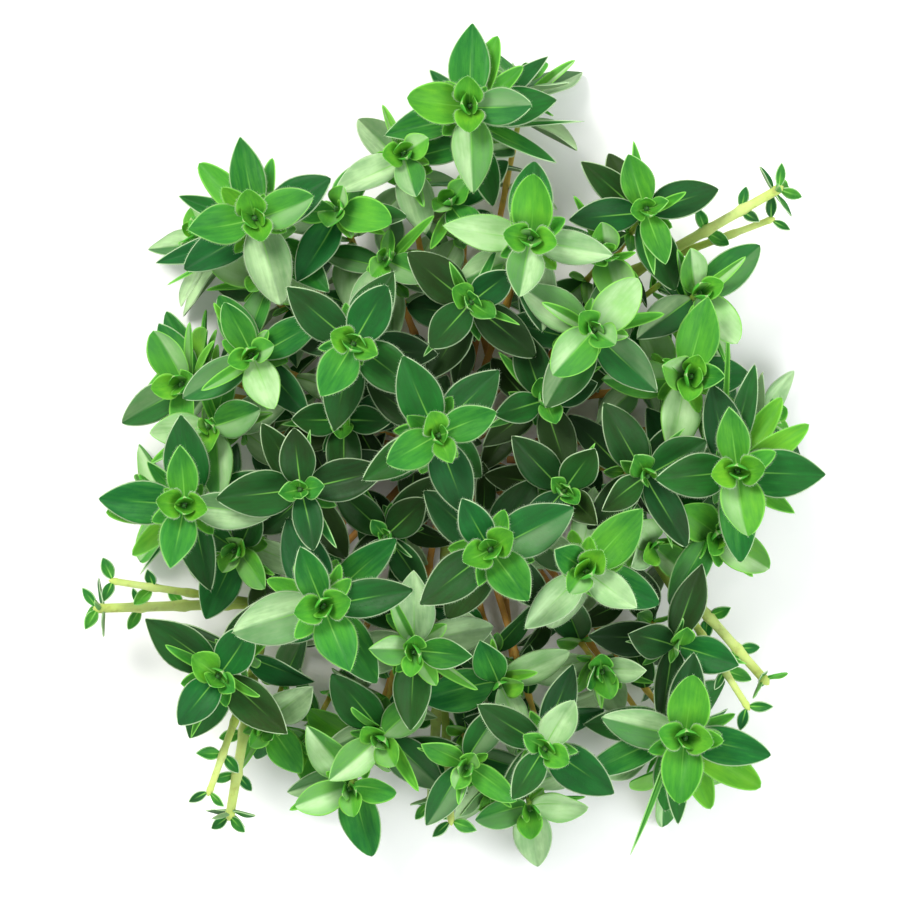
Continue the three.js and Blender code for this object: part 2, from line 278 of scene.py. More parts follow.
class StemLine:
    """A stem's line: a cubic curve in an upright plane, with the two angles at which it rises."""

    STEPS = 24
    HANDLE = 0.4
    NUDGE = 0.0001

    def __init__(self, start, tip, rises):
        self.heading = math.atan2(tip[1] - start[1], tip[0] - start[0])
        self.side = vec(-math.sin(self.heading), math.cos(self.heading), 0)
        reach = self.HANDLE * np.linalg.norm(tip - start)
        first, last = (self.rising(math.radians(rise)) for rise in rises)
        self.knots = (start, start + first * reach, tip - last * reach, tip)
        points = self.point(np.linspace(0, 1, self.STEPS + 1))
        steps = np.linalg.norm(np.diff(points, axis=0), axis=1)
        self.lengths = np.concatenate([[0], np.cumsum(steps)])
        self.total = self.lengths[-1]

    def rising(self, rise):
        flat = math.cos(rise)
        return vec(flat * math.cos(self.heading), flat * math.sin(self.heading), math.sin(rise))

    def point(self, t):
        t = np.asarray(t, float)[..., None]
        k = 1 - t
        a, b, c, d = self.knots
        return k**3 * a + 3 * k * k * t * b + 3 * k * t * t * c + t**3 * d

    def at(self, distance):
        """The place at a distance from the start, with the axes there: forward and third."""
        distance = np.asarray(distance, float)
        i = np.clip(np.searchsorted(self.lengths, distance), 1, self.STEPS)
        before = self.lengths[i - 1]
        t = (i - 1 + (distance - before) / (self.lengths[i] - before)) / self.STEPS
        ahead = self.point(np.minimum(t + self.NUDGE, 1)) - self.point(np.maximum(t - self.NUDGE, 0))
        forward = unit(ahead)
        return self.point(t), forward, np.cross(forward, self.side)


class Leaf:
    """A leaf of a sprig, at a turn round its stem, bent as one of BENDS."""

    def __init__(self, plan, shape, turn, bend):
        opening, swing, shrink = bend
        place, forward, third = plan.line.at(plan.line.total - shape["below"] * plan.size)
        around = math.radians(turn + swing)
        out = plan.line.side * math.cos(around) + third * math.sin(around)
        wide = math.radians(shape["open"] + opening)
        roll = math.radians(shape["roll"])
        self.along = forward * math.cos(wide) + out * math.sin(wide)
        flat_up = forward * math.sin(wide) - out * math.cos(wide)
        self.up = flat_up * math.cos(roll) + np.cross(self.along, flat_up) * math.sin(roll)
        self.across = np.cross(self.along, self.up)
        self.root = place + out * ROOT_OFFSET
        length = LEAF_LENGTH * shape["size"] * shrink
        self.length = length * shape["length"]
        self.half_width = length * shape["width"] / 2
        self.curl = math.radians(shape["curl"])

    def middle(self, s, v):
        """Points of the middle face of the frame's leaf, at shares s of its length and v of its
        half width."""
        s, v = (np.asarray(x, float)[..., None] for x in (s, v))
        bent = self.root + self.along * (s * self.length)
        bent = bent - self.up * (0.5 * self.curl * s * s * self.length)
        return bent + self.across * (v * self.half_width * outline_at(s))


def outline_at(s, taper=OUTLINE_TAPER):
    """The egg-shaped outline of a leaf: its half width at a share of its length, as a share."""
    return np.abs(np.sin(np.pi * s**OUTLINE_SKEW)) ** taper


class Group:
    """Points close together, with their owner and the half thickness round them."""

    def __init__(self, owner, half, points, is_stem=False):
        self.owner, self.half, self.points, self.is_stem = owner, half, points, is_stem
        self.centre = (points.min(axis=0) + points.max(axis=0)) / 2
        self.radius = np.linalg.norm(points - self.centre, axis=1).max()


class Crowd:
    """All that is placed already."""

    def __init__(self):
        self.groups = []
        self.owners = np.empty(0, int)
        self.balls = np.empty((0, 5))

    def add(self, groups):
        self.groups += groups
        self.owners = np.append(self.owners, [g.owner for g in groups])
        rows = [[*g.centre, g.radius, g.half] for g in groups]
        self.balls = np.vstack([self.balls, rows])

    def is_clear(self, group, clearance=CLEARANCE, own_leaves=False):
        if not self.groups:
            return True
        gaps = self.balls[:, 4] + group.half + clearance
        far = np.linalg.norm(self.balls[:, :3] - group.centre, axis=1)
        near = far <= self.balls[:, 3] + group.radius + gaps
        if not own_leaves:
            near &= self.owners != group.owner
        for i in np.flatnonzero(near):
            other = self.groups[i]
            if other.owner == group.owner and other.is_stem:
                continue
            apart = group.points[:, None, :] - other.points[None, :, :]
            if (np.einsum("ijk,ijk->ij", apart, apart) <= gaps[i] ** 2).any():
                return False
        return True


crowd = Crowd()

# Where a leaf is measured: shares of its length and of its half width
SPREAD_ALONG = [0.16, 0.25, 0.34, 0.43, 0.52, 0.61, 0.7, 0.79, 0.88, 1]
SPREAD_ACROSS = [-1, -0.66, -0.33, 0, 0.33, 0.66, 1]
SPREAD = np.meshgrid(SPREAD_ALONG, SPREAD_ACROSS, indexing="ij")
STEM_PARTS = 6
PART_POINTS = 10
STEM_ROUND = 0.6  # of its width, the room kept round a stem


def stem_groups(owner, line):
    spacing = line.total / (STEM_PARTS * PART_POINTS)
    places = line.at(spacing * (np.arange(STEM_PARTS * PART_POINTS) + 0.5))[0]
    groups = []
    for part, points in enumerate(places.reshape(STEM_PARTS, PART_POINTS, 3)):
        width = lerp(STEM_WIDTH, TIP_WIDTH, part / (STEM_PARTS - 1))
        groups.append(Group(owner, STEM_ROUND * width, points, is_stem=True))
    return groups


SPIRAL_STEP = 0.35
SPIRAL_TRIES = 900
GOLDEN_ANGLE = 137.508
TIP_SHARE = 0.25  # of its start's way, for a stem's tip


def place_stem(owner, start, tip, rises_of):
    """Finds free room for a stem: its start walks a spiral outwards, and its tip follows a little."""
    for n in range(SPIRAL_TRIES):
        far = SPIRAL_STEP * math.sqrt(n)
        turn = math.radians(n * GOLDEN_ANGLE)
        shift = vec(far * math.cos(turn), far * math.sin(turn), 0)
        low, high = start + shift, tip + shift * TIP_SHARE
        line = StemLine(low, high, rises_of(low, high))
        groups = stem_groups(owner, line)
        if all(crowd.is_clear(group) for group in groups):
            crowd.add(groups)
            return line
    raise RuntimeError("no room for a stem")


class Plan:
    """A sprig or twig: its stem's line, the turn of its largest leaves round it, its leaves' size
    and its first and last pair in PAIRS."""

    def __init__(self, name, line, turn, size, first, last, branch=None):
        self.name, self.line, self.turn, self.size = name, line, turn, size
        self.first, self.last, self.branch = first, last, branch
        self.leaves, self.fine = [], []
        self.order = self.fine_count = 0


def plan_twig(i, row):
    x, y, z, x2, y2, z2, start_x, start_y = row
    start = vec(start_x, start_y, BASE_HEIGHT)
    owner = len(HEAP) + len(SKIRT) + i
    line = place_stem(owner, start, vec(x, y, z), lambda low, high: TWIG_RISE)
    fork = line.at(line.total * BRANCH_START)[0]
    branch = StemLine(fork, vec(x2, y2, z2), BRANCH_RISE)
    crowd.add(stem_groups(owner, branch))
    return Plan(f"twig_{i + 1}", line, TWIG_TURN * i, TWIG_LEAF_SIZE, 1, 2, branch)


def plan_heap_sprig(i, row):
    x, y, drop, heading, size = row
    start = vec(BASE_SPREAD * x, BASE_SPREAD * y, BASE_HEIGHT)
    tip = vec(x, y, DOME_HEIGHT - DOME_FALL * (x * x + y * y) - drop)

    def rises_of(low, high):
        chord = math.atan2(high[2] - low[2], math.hypot(high[0] - low[0], high[1] - low[1]))
        lean = LEAN_RATE * math.hypot(high[0], high[1]) * drop / DEEP_DROP
        return max(0, math.degrees(chord) - BASE_DIP), 90 - lean + TIP_TURN

    line = place_stem(i, start, tip, rises_of)
    turn = heading - math.degrees(line.heading) - 90
    first = 0 if i < TOP_SPRIGS else 1
    last = 4 if i < TOP_SPRIGS + MIDDLE_SPRIGS else 3
    return Plan(f"sprig_{i + 1:02d}", line, turn, size, first, last)


def plan_skirt_sprig(i, row):
    heading, reach, size = row
    way = vec(math.cos(math.radians(heading)), math.sin(math.radians(heading)), 0)
    start = way * SKIRT_START + vec(0, 0, STEM_WIDTH / 2)
    tip = way * reach + vec(0, 0, SKIRT_HEIGHT)
    line = place_stem(len(HEAP) + i, start, tip, lambda low, high: (0, SKIRT_RISE))
    return Plan(f"skirt_{i + 1}", line, SKIRT_TURN, size, 1, 3)


def turn_of(plan, pair, half):
    """The turn round the stem of one leaf of a pair, in degrees."""
    lower = pair - LARGEST_PAIR
    return plan.turn + 90 * lower + PAIR_TWIST * max(0, lower) + 180 * half


def first_clear(plan, shape, turn, bends, spread, thickness, lowest, rules):
    """The first bend of a leaf that is clear of all that is placed, which then counts as placed."""
    for bend in bends:
        leaf = Leaf(plan, shape, turn, bend)
        group = Group(plan.order, thickness / 2, leaf.middle(*spread).reshape(-1, 3))
        on_table = (group.points[:, 2] < lowest).any()
        if not on_table and all(crowd.is_clear(group, *rule) for rule in rules):
            crowd.add([group])
            return leaf
    return None


LEAF_DRAWS = 4  # keys of each leaf's draws
MOST_PAIRS = 16  # that a sprig has keys for


def grow_leaves(plan):
    """The leaves of a plan that the frame has, from the tip down, each bent clear."""
    for pair in range(plan.first, plan.last + 1):
        for half in (0, 1):
            key = LEAF_DRAWS * (2 * (MOST_PAIRS * plan.order + pair) + half)
            turn = turn_of(plan, pair, half) + TURN_RANGE * draw(key)
            shape = dict(PAIRS[pair])
            shape["open"] += OPEN_RANGE * draw(key + 1)
            shape["size"] = plan.size * (1 + SIZE_RANGE * draw(key + 2))
            shape["roll"] = ROLL_RANGE * draw(key + 3)
            size = (BLADE_THICKNESS, TABLE_GAP)
            leaf = first_clear(plan, shape, turn, BENDS, SPREAD, *size, [(CLEARANCE, False)])
            if leaf:
                leaf.pair, leaf.half, leaf.turn = pair, half, turn
                plan.leaves.append(leaf)


twigs = [plan_twig(i, row) for i, row in enumerate(TWIGS)]
heap = [plan_heap_sprig(i, row) for i, row in enumerate(HEAP)]
skirt = [plan_skirt_sprig(i, row) for i, row in enumerate(SKIRT)]
plans = heap + skirt + twigs
for order, plan in enumerate(plans):
    plan.order = order
for plan in plans:
    grow_leaves(plan)

# The finer leaves, which only the looks have. A leaf's age goes from 0, just unfolded, to 1
PAIR_AGES = {-1: 0.1, 0: 0.14, 1: 0.3, 2: 0.52, 3: 0.6, 4: 0.58, 5: 0.62, 6: 0.7}
AXIL_AGE = 0.16
FINE_KEYS = 1_000_000  # where their draws' keys begin
MOST_FINE = 1000  # that a plan has keys for
SMALL_SPREAD = np.meshgrid([0.3, 0.5, 0.7, 0.85, 1], [-0.9, -0.45, 0, 0.45, 0.9], indexing="ij")
TWIG_LEAF_FIRST = 0.6  # mm from a twig's tip to its first small leaf pair
TWIG_LEAF_STEP = 6.5  # from each pair to the next
TWIG_LEAF = form(0, 0.28, 0.17, 58, 14)
TWIG_LEAF_AGE = 0.5
TWIG_TILT = 24  # degrees, up and down by turns
TWIG_ROLL = 70  # degrees, to the sky at most


def grow_fine(plan, shape, turn, pair, age, bends=FINE_BENDS, roll=FINE_ROLL):
    """Adds one finer leaf where a bend of it is clear of all that is placed."""
    plan.fine_count += 1
    key = FINE_KEYS + LEAF_DRAWS * (MOST_FINE * plan.order + plan.fine_count)
    shape = dict(shape)
    shape["open"] += FINE_OPEN_RANGE * draw(key)
    shape["size"] = plan.size * (1 + FINE_SIZE_RANGE * draw(key + 1))
    shape["roll"] = shape.get("roll", 0) + roll * draw(key + 2)
    turn += TURN_RANGE * draw(key + 3)
    size = (FINE_THICKNESS, FINE_THICKNESS)
    rules = [(FINE_CLEARANCE, False)]
    if pair > 0:
        rules.append((OWN_CLEARANCE, True))
    leaf = first_clear(plan, shape, turn, bends, SMALL_SPREAD, *size, rules)
    if leaf:
        leaf.pair, leaf.turn, leaf.age = pair, turn, age
        plan.fine.append(leaf)


def grow_cupped_leaves(plan):
    """The pair that cups the bud and, where the frame has none, the next one."""
    for half in (0, 1):
        grow_fine(plan, BUD_PAIRS[0], turn_of(plan, -1, half), -1, PAIR_AGES[-1], BENDS[:1])
        if plan.first > 0:
            grow_fine(plan, BUD_PAIRS[1], turn_of(plan, 0, half), 0, PAIR_AGES[0], BENDS[:1])


def grow_lower_pairs(plan):
    for pair, shape in enumerate(LOWER_PAIRS, start=LARGEST_PAIR + 2):
        if pair <= plan.last or shape["below"] * plan.size > plan.line.total - LEAST_STEM:
            continue
        for half in (0, 1):
            turn = turn_of(plan, pair, half)
            grow_fine(plan, shape, turn, pair, PAIR_AGES[pair], roll=LOOSE_ROLL)


def grow_slender_leaves(plan):
    for i in range(SLENDER_LEAVES):
        drift = SLENDER_DRIFT * draw(SLENDER_STEP * plan.order + i)
        turn = plan.turn + 360 * (i + drift) / SLENDER_LEAVES
        grow_fine(plan, SLENDER, turn, 1, AXIL_AGE, roll=LOOSE_ROLL)


def grow_axil_leaves(plan):
    for leaf in plan.leaves + plan.fine:
        if leaf.pair not in AXIL_PAIRS:
            continue
        below = PAIRS[leaf.pair]["below"] - AXIL_RISE
        for i, (length, opening) in enumerate(zip(AXIL_LENGTHS, AXIL_OPEN)):
            shape = form(below, length, length * AXIL_WIDTH, opening, AXIL_CURL)
            turn = leaf.turn + AXIL_TURN * (1 - 2 * i)
            grow_fine(plan, shape, turn, leaf.pair, AXIL_AGE)


def roll_to_sky(plan, shape, turn):
    """The roll that turns a leaf's upper face to the sky, in degrees."""
    leaf = Leaf(plan, dict(shape, size=1, roll=0), turn, BENDS[0])
    roll = math.degrees(math.atan2(np.cross(leaf.along, leaf.up)[2], leaf.up[2]))
    return max(-TWIG_ROLL, min(TWIG_ROLL, roll))


def grow_twig_leaves(plan):
    for line in (plan.line, plan.branch):
        part = Plan(plan.name, line, plan.turn, 1, 0, 0)
        part.order, part.fine_count = plan.order, plan.fine_count
        count = int((line.total * (1 - BRANCH_START)) / TWIG_LEAF_STEP)
        for i in range(count):
            for half in (0, 1):
                turn = 180 * half + TWIG_TILT * (-1) ** i
                shape = dict(TWIG_LEAF, below=TWIG_LEAF_FIRST + TWIG_LEAF_STEP * i)
                shape["roll"] = roll_to_sky(part, shape, turn)
                grow_fine(part, shape, turn, 1, TWIG_LEAF_AGE)
        plan.fine += part.fine
        plan.fine_count = part.fine_count


for number, heading, below, length, width, age in BEHIND:
    plan = heap[number - 1]
    turn = heading - math.degrees(plan.line.heading) - 90
    shape = form(below, length, width, BEHIND_OPEN, BEHIND_CURL)
    grow_fine(plan, shape, turn, LARGEST_PAIR, age)
for plan in heap + skirt:
    grow_cupped_leaves(plan)
    grow_lower_pairs(plan)
    if plan.order >= TOP_SPRIGS:
        grow_slender_leaves(plan)
    grow_axil_leaves(plan)
for plan in twigs:
    grow_twig_leaves(plan)

INNER_GROWTH = 1.18  # the cupped inner leaves are wider and bend out more than in the frame
INNER_CURL = 14
for plan in heap:
    for leaf in plan.leaves:
        if leaf.pair == 0:
            leaf.length *= INNER_GROWTH
            leaf.half_width *= INNER_GROWTH
            leaf.curl = math.radians(INNER_CURL)


class Sheet:
    """The faces of a closed leaf: a point at the root, rings of points round the blade from its
    upper face to its lower one, and a point at the tip. They lie closer together near the ends
    and the margins."""

    def __init__(self, rings, columns):
        t = np.linspace(0, 1, rings + 1)
        s = 0.5 * t + 0.25 * (1 - np.cos(np.pi * t))
        v = np.sin(np.linspace(-np.pi / 2, np.pi / 2, columns + 1))
        v = 0.5 * v + 0.5 * np.linspace(-1, 1, columns + 1)
        s_rings, v_rings = np.meshgrid(s[1:-1], np.append(v, v[-2:0:-1]), indexing="ij")
        side = np.ones_like(v_rings)
        side[:, columns + 1 :] = -1
        self.s = np.concatenate([[0], s_rings.ravel(), [1]])
        self.v = np.concatenate([[0], v_rings.ravel(), [0]])
        self.side = np.concatenate([[1], side.ravel(), [1]])
        self.faces, self.under = [], []
        for i in range(rings):
            self.add_ring(i, rings, columns)
        self.place_corners()

    def add_ring(self, i, rings, columns):
        around = 2 * columns
        low, high = 1 + (i - 1) * around, 1 + i * around
        for j in range(around):
            k = (j + 1) % around
            if i == 0:
                face = (0, high + k, high + j)
            elif i == rings - 1:
                face = (low + j, low + k, len(self.s) - 1)
            else:
                face = (low + j, low + k, high + k, high + j)
            self.faces.append(face)
            self.under.append(float(j >= columns))

    def place_corners(self):
        """Each corner's place on a flat drawing of its face, from 0 to 1 both ways."""
        corners = []
        for face in self.faces:
            ring = [i for i in face if 0 < i < len(self.s) - 1]
            middle = np.mean([self.v[i] for i in ring])
            for i in face:
                v = self.v[i] if i in ring else middle
                corners.append((self.s[i], (v + 1) / 2))
        self.corners = np.array(corners)
        self.corner_under = np.repeat(self.under, [len(face) for face in self.faces])


LARGE_SHEET = Sheet(16, 12)
SMALL_SHEET = Sheet(9, 6)
LARGE_LEAF = 6  # mm, from which a leaf has the finer faces
YOUNG_AGE = 0.25  # up to which a leaf has a young one's form

# A fine blade's outline: how blunt it is, the lower the blunter, and its width as a share of the
# frame's, each for an old leaf with how far it differs
YOUNG_TAPER = 0.56
OLD_TAPER, TAPER_RANGE = 0.74, 0.12
OLD_WIDTH, WIDTH_RANGE = 0.87, 0.13
PETIOLE = 0.32  # half width of a leaf's stalk
PETIOLE_SHARE = 0.3  # of the blade's half width, at most

# Its fold along the midrib, as rise to half width, with the power of the way to the margin that
# the rise follows, and the rise that stays under the frame's middle face
YOUNG_FOLD, YOUNG_POWER = 0.5, 1.7
OLD_FOLD, OLD_POWER = 0.44, 1.1
FOLD_RANGE = 0.16
FOLD_SINK = 0.42
ROLLED_FROM, ROLLED_WIDTH = 0.72, 0.28  # the rolled margin of an old leaf
ROLLED_DOWN = 0.12
WAVE = 0.07  # of the margins, as a share of the half width
WAVES = 1.2  # along a leaf
ROOT_LENGTH = 0.12  # share of the length over which fold and rib begin

GROOVE = 0.1  # depth of the midrib's groove on top
KEEL = 0.16  # how far the midrib stands out below
RIB_WIDTH = 0.3
RIB_FADE = 0.7  # towards the tip
FULL_RIB = 8  # mm, length of a leaf with the full rib
TIP_THINNING = 0.4
STALK_THICKNESS, STALK_LENGTH = 0.12, 0.08
SWAY = 0.05  # sideways, at the tip, as a share of the length
TWIST = math.radians(10)


def fine_outline(leaf, s, key):
    """Half width in mm at a share of the length: a short stalk that widens to the blade, which is
    blunter on a young leaf."""
    old = leaf.age > YOUNG_AGE
    taper = OLD_TAPER + TAPER_RANGE * draw(key) if old else YOUNG_TAPER
    narrow = OLD_WIDTH + WIDTH_RANGE * draw(key + 1) if old else 1
    stalk = np.minimum(PETIOLE, PETIOLE_SHARE * leaf.half_width) * (1 - s) ** 2
    return np.hypot(leaf.half_width * narrow * outline_at(s, taper), stalk)


def blade_lift(leaf, s, v, width, key):
    """How far the blade rises over the frame's middle face: its fold, rolled margin and wave."""
    young = leaf.age < YOUNG_AGE
    fold = (YOUNG_FOLD if young else OLD_FOLD) + FOLD_RANGE * draw(key)
    lift = fold * width * (np.abs(v) ** (YOUNG_POWER if young else OLD_POWER) - FOLD_SINK)
    margin = np.clip(np.abs(v) - ROLLED_FROM, 0, None) / ROLLED_WIDTH
    lift -= ROLLED_DOWN * width * margin**2 * (0 if young else 1)
    return lift + WAVE * width * v * np.sin(2 * np.pi * (WAVES * s + draw(key + 1)))


def rib_relief(leaf, s, v, side, width):
    rib = np.exp(-((v * width / RIB_WIDTH) ** 2)) * (1 - RIB_FADE * s)
    rib = rib * min(1, leaf.length / FULL_RIB)
    return np.where(side > 0, -GROOVE * rib, -KEEL * rib) * (1 - v**2)


def half_thickness(s, v):
    thick = FINE_THICKNESS / 2 * np.sqrt(np.clip(1 - v**4, 0, 1)) * (1 - TIP_THINNING * s)
    stalk = STALK_THICKNESS * np.exp(-((s / STALK_LENGTH) ** 2))
    return thick + stalk * np.sqrt(np.clip(1 - v**2, 0, 1))


def leaf_vertices(leaf, sheet, key):
    """The points of a leaf's closed blade, arched and a little twisted, and its half widths."""
    s, v, side = sheet.s, sheet.v, sheet.side
    width = fine_outline(leaf, s, key + 5)
    lift = blade_lift(leaf, s, v, width, key)
    relief = rib_relief(leaf, s, v, side, width)
    inner = (s > 0) & (s < 1)
    rise = (lift + relief) * np.minimum(1, s / ROOT_LENGTH) + side * half_thickness(s, v) * inner
    arch = 0.5 * leaf.curl * s * s * leaf.length
    sway = SWAY * leaf.length * draw(key + 2) * s**2
    twist = TWIST * draw(key + 3) * s
    x = v * width
    across = leaf.across[None, :] * (x * np.cos(twist) + sway)[:, None]
    up = leaf.up[None, :] * (rise + x * np.sin(twist) - arch)[:, None]
    along = leaf.along[None, :] * (s * leaf.length)[:, None]
    return leaf.root + along + across + up, width


def add_object(name, data):
    made = bpy.data.objects.new(name, data)
    bpy.context.scene.collection.objects.link(made)
    return made


class Shape:
    """The faces of one piece, gathered from closed parts, with what its material reads."""

    def __init__(self):
        self.points, self.faces, self.corners = [], [], []
        self.values = {}
        self.count = 0

    def add(self, points, faces, corners, **values):
        self.points.append(points)
        self.faces += [tuple(i + self.count for i in face) for face in faces]
        self.corners.append(corners)
        self.count += len(points)
        for name, rows in values.items():
            self.values.setdefault(name, []).append(rows)

    def piece(self, name, node, slot, material):
        mesh = bpy.data.meshes.new(name)
        mesh.from_pydata((np.vstack(self.points) * MM).tolist(), [], self.faces)
        mesh.shade_smooth()
        for key, rows in self.values.items():
            rows = np.concatenate(rows)
            domain = "FACE" if key.endswith("under") else "POINT"
            kind, field = ("FLOAT_VECTOR", "vector") if rows.ndim == 2 else ("FLOAT", "value")
            layer = mesh.attributes.new(key, kind, domain)
            layer.data.foreach_set(field, rows.astype(np.float32).ravel())
        flat = mesh.uv_layers.new(name="OFBake")
        flat.uv.foreach_set("vector", np.vstack(self.corners).astype(np.float32).ravel())
        mesh.materials.append(material)
        made = add_object(name, mesh)
        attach(made, "root")
        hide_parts(node)
        return made


CELL_MARGIN = 0.04
SHAPE_KEYS, LOOK_KEYS, HAIR_KEYS = 2 * FINE_KEYS, 3 * FINE_KEYS, 4 * FINE_KEYS
SHAPE_DRAWS = 8
MOST_LEAVES = 200  # that a plan has keys for


def cell_corners(corners, cell, cells):
    """A flat drawing's corners, moved into one of cells x cells squares."""
    inside = CELL_MARGIN + (1 - 2 * CELL_MARGIN) * corners
    return (inside + np.array(divmod(cell, cells))) / cells


def shaped_leaves(plan):
    """Each leaf of a plan with its sheet, the key of its draws, its points and its half widths."""
    for i, leaf in enumerate(plan.leaves + plan.fine):
        key = SHAPE_KEYS + SHAPE_DRAWS * (MOST_LEAVES * plan.order + i)
        sheet = LARGE_SHEET if leaf.length > LARGE_LEAF else SMALL_SHEET
        yield leaf, sheet, key, *leaf_vertices(leaf, sheet, key)


def leaves_shape(plan):
    shape = Shape()
    leaves = plan.leaves + plan.fine
    cells = math.ceil(math.sqrt(2 * len(leaves)))
    for i, (leaf, sheet, key, points, width) in enumerate(shaped_leaves(plan)):
        under = sheet.corner_under[:, None]
        upper, lower = (cell_corners(sheet.corners, 2 * i + k, cells) for k in (0, 1))
        place = np.column_stack([sheet.v, sheet.s, width])
        # The last of these is the strength of the leaf's painted sheen
        kind = np.array([leaf.age, leaf.tone, leaf.pale])
        shape.add(
            points,
            sheet.faces,
            upper * (1 - under) + lower * under,
            leaf_place=place,
            leaf_kind=np.repeat(kind[None, :], len(points), axis=0),
            leaf_under=np.array(sheet.under),
        )
    return shape


# Short hairs along the margins of the sprigs on top
HAIRS = 44  # along each margin of a leaf
HAIR_LENGTH, HAIR_LENGTH_RANGE = 0.3, 0.35
HAIR_ROOT, HAIR_DEPTH = 0.022, 0.06  # half width of the root, and how deep in the leaf it is
HAIR_PLACES, HAIR_PLACE_RANGE = (0.12, 0.995), 0.006  # shares of the leaf's length
HAIR_OUT, HAIR_FORWARD = (1, 0.4), (0.35, 0.85)  # at the leaf's root and at its tip
HAIR_LEAN = 0.4  # up or down


def margin_roots(leaf, sheet, points, key):
    """Where the hairs of both margins stand and which way they point: out and forward."""
    roots, ways = [], []
    for side in (-1, 1):
        rim = (sheet.v == side) | (sheet.s == 1)
        places, line = sheet.s[rim], points[rim]
        s = np.linspace(*HAIR_PLACES, HAIRS) + HAIR_PLACE_RANGE * draws(key, HAIRS)
        roots.append(np.column_stack([np.interp(s, places, line[:, k]) for k in range(3)]))
        lean = HAIR_LEAN * draws(key + HAIRS, HAIRS)[:, None]
        out, forward = (lerp(*ends, s[:, None] ** 3) for ends in (HAIR_OUT, HAIR_FORWARD))
        ways.append(side * leaf.across * out + leaf.along * forward + leaf.up * lean)
    return np.vstack(roots), unit(np.vstack(ways))


def margin_hairs(leaf, sheet, points, key):
    """Thin closed spikes along a leaf's margins."""
    root, way = margin_roots(leaf, sheet, points, key)
    third = unit(np.cross(way, leaf.up))
    other = np.cross(way, third)
    low = root - HAIR_DEPTH * way
    turns = 2 * np.pi * np.arange(3) / 3
    ring = [low + HAIR_ROOT * (math.cos(t) * third + math.sin(t) * other) for t in turns]
    sizes = 1 + HAIR_LENGTH_RANGE * draws(key + 2 * HAIRS, len(root))
    tips = root + HAIR_LENGTH * sizes[:, None] * way
    spikes = np.stack([*ring, tips], axis=1).reshape(-1, 3)
    pattern = np.array([(0, 1, 2), (0, 3, 1), (1, 3, 2), (2, 3, 0)])
    faces = (4 * np.arange(len(root))[:, None, None] + pattern).reshape(-1, 3)
    return spikes, [tuple(face) for face in faces.tolist()]


def hairs_shape(plan):
    """The hairs of all leaves of a plan but the cupped ones, as one shape."""
    shape = Shape()
    for leaf, sheet, key, points, _ in shaped_leaves(plan):
        if leaf.pair >= 0:
            spikes, faces = margin_hairs(leaf, sheet, points, HAIR_KEYS + key)
            shape.add(spikes, faces, np.zeros((0, 2)))
    count = len(shape.faces)
    cells = math.ceil(math.sqrt(count))
    triangle = np.array([(0.1, 0.1), (0.9, 0.1), (0.1, 0.9)])
    cell = np.column_stack(divmod(np.arange(count), cells))
    shape.corners = [((cell[:, None, :] + triangle) / cells).reshape(-1, 2)]
    return shape


# Stems: a square stalk with rounded edges and a swelling at each pair of leaves
AROUND = 12  # points round a stem
SQUARENESS = 4.5  # 2 is round
RING_STEP = 0.8
FEWEST_RINGS = 6
SLIMMING = 0.9  # of the stem between its swellings
SWELLING = 0.3  # at its leaf pairs, as a share of its width
SWELL_LENGTH = 0.7
BUD_LENGTH = 1.5
BUD_RINGS = 5
BUD_FROM = 0.35  # where on half a wave the bud's outline begins
BUD_TAPER = 0.8
CUT_END = 0.01  # share of a flat drawing for the cut end

# Widths at the cut end, at the tip and of the bud, and how far under the tip the stem ends: on a
# sprig in the hollow of its last leaves. Then a twig's and its side branch's
SPRIG_STEM = (STEM_WIDTH, TIP_WIDTH * 0.85, 0.7, 0.8)
TWIG_STEMS = [(2, 1.5, 1.5, 0), (1.4, 1.1, 1.1, 0)]


def stem_profile(total, nodes, wide, narrow, bud_width):
    """Where along a stem its rings lie and their half widths, with the bud at its end."""
    body = total - BUD_LENGTH
    distances = np.linspace(0, body, max(FEWEST_RINGS, int(body / RING_STEP)))
    halves = lerp(wide, narrow, distances / body) / 2 * SLIMMING
    for node in nodes:
        halves *= 1 + SWELLING * np.exp(-(((distances - node) / SWELL_LENGTH) ** 2))
    tip = np.linspace(0, 1, BUD_RINGS + 2)[1:-1]
    bud = bud_width / 2 * np.sin(np.pi * (BUD_FROM + (1 - BUD_FROM) * tip)) ** BUD_TAPER
    return np.concatenate([distances, body + BUD_LENGTH * tip]), np.concatenate([halves, bud])


def stem_faces(count, share):
    """The faces of a stem with count rings, and their corners on a flat drawing. The share of the
    stem's length is known for each point."""
    faces, corners = [], []
    starts = range(1, 1 + count * AROUND, AROUND)
    last = starts[-1]
    for j in range(AROUND):
        k = (j + 1) % AROUND
        here, there = j / AROUND, (j + 1) / AROUND
        middle = (here + there) / 2
        faces.append((0, 1 + k, 1 + j))
        corners += [(0, middle), (CUT_END, there), (CUT_END, here)]
        for low, high in zip(starts, starts[1:]):
            faces.append((low + j, low + k, high + k, high + j))
            u, w = share[low], share[high]
            corners += [(u, here), (u, there), (w, there), (w, here)]
        faces.append((last + j, last + k, len(share) - 1))
        corners += [(share[last], here), (share[last], there), (1, middle)]
    return faces, np.array(corners)


